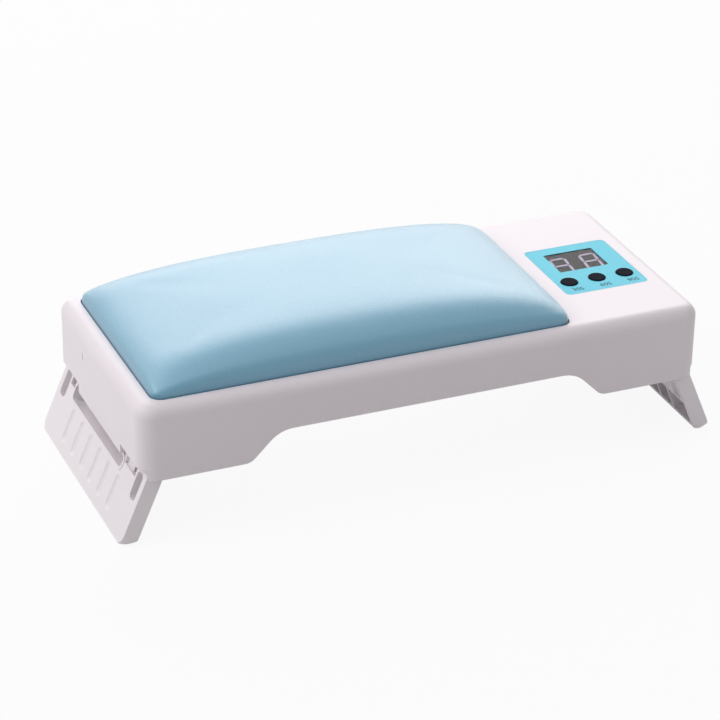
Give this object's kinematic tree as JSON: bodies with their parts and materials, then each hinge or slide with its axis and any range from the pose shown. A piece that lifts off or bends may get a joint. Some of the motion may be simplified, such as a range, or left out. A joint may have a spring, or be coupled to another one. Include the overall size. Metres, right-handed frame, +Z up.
{
  "type": "nail lamp",
  "caption": "Table-top nail lamp with a padded hand rest, a control panel with display and push buttons, and folding legs, open below for the hand.",
  "frame": {"origin": "on the floor under the middle of the body, with both legs open", "axes": "+X along the lamp towards the control panel, +Y from the user's side to the back, +Z up"},
  "size_m": [0.3434, 0.14, 0.1004],
  "materials": {
    "housing": "satin moulded white",
    "cover": "satin moulded white",
    "leg": "satin moulded white",
    "cushion_skin": "soft leatherette, light blue",
    "foam": "open-cell foam",
    "base_board": "fibreboard",
    "label": "printed film, cyan",
    "window": "smoked clear plastic",
    "display": "dark face",
    "key": "near-black, satin",
    "plunger": "moulded",
    "switch": "moulded black",
    "circuit_board": "green solder mask",
    "lamp_board": "white-coated",
    "component": "moulded black",
    "bead": "clear dome",
    "lead": "black sheath",
    "connector": "moulded natural",
    "inlet": "moulded black",
    "nut": "nickel plated",
    "screw": "zinc plated",
    "pin": "ground"
  },
  "bodies": {
    "body": {"upper_housing": "housing", "lower_cover": "cover", "cushion_cover": "cushion_skin", "cushion_foam": "foam", "cushion_board": "base_board", "panel_overlay": "label", "display_window": "window", "display_module": "display", "switch_bodies": "switch", "control_board": "circuit_board", "led_board": "lamp_board", "board_components": "component", "led_beads": "bead", "led_lead": "lead", "power_lead": "lead", "lead_connectors": "connector", "power_socket": "inlet", "power_socket_nut": "nut", "housing_screws": "screw", "cushion_screws": "screw", "control_board_screws": "screw", "led_board_screws": "screw"},
    "left_leg": {"left_leg": "leg", "left_hinge_pins": "pin"},
    "right_leg": {"right_leg": "leg", "right_hinge_pins": "pin"},
    "button_1": {"button_1": "key", "switch_plunger_1": "plunger"},
    "button_2": {"button_2": "key", "switch_plunger_2": "plunger"},
    "button_3": {"button_3": "key", "switch_plunger_3": "plunger"}
  },
  "joints": [
    {"name": "left_leg_fold", "type": "hinge", "parent": "body", "child": "left_leg", "pos_m": [-0.152, 0, 0.04], "axis": [0, -1, 0], "range_deg": [0, 113]},
    {"name": "right_leg_fold", "type": "hinge", "parent": "body", "child": "right_leg", "pos_m": [0.152, 0, 0.04], "axis": [0, 1, 0], "range_deg": [0, 113]},
    {"name": "button_1_press", "type": "slide", "parent": "body", "child": "button_1", "axis": [0, 0, -1], "range_m": [0, 0.0005], "stiffness_N_per_m": 3000},
    {"name": "button_2_press", "type": "slide", "parent": "body", "child": "button_2", "axis": [0, 0, -1], "range_m": [0, 0.0005], "stiffness_N_per_m": 3000},
    {"name": "button_3_press", "type": "slide", "parent": "body", "child": "button_3", "axis": [0, 0, -1], "range_m": [0, 0.0005], "stiffness_N_per_m": 3000}
  ]
}
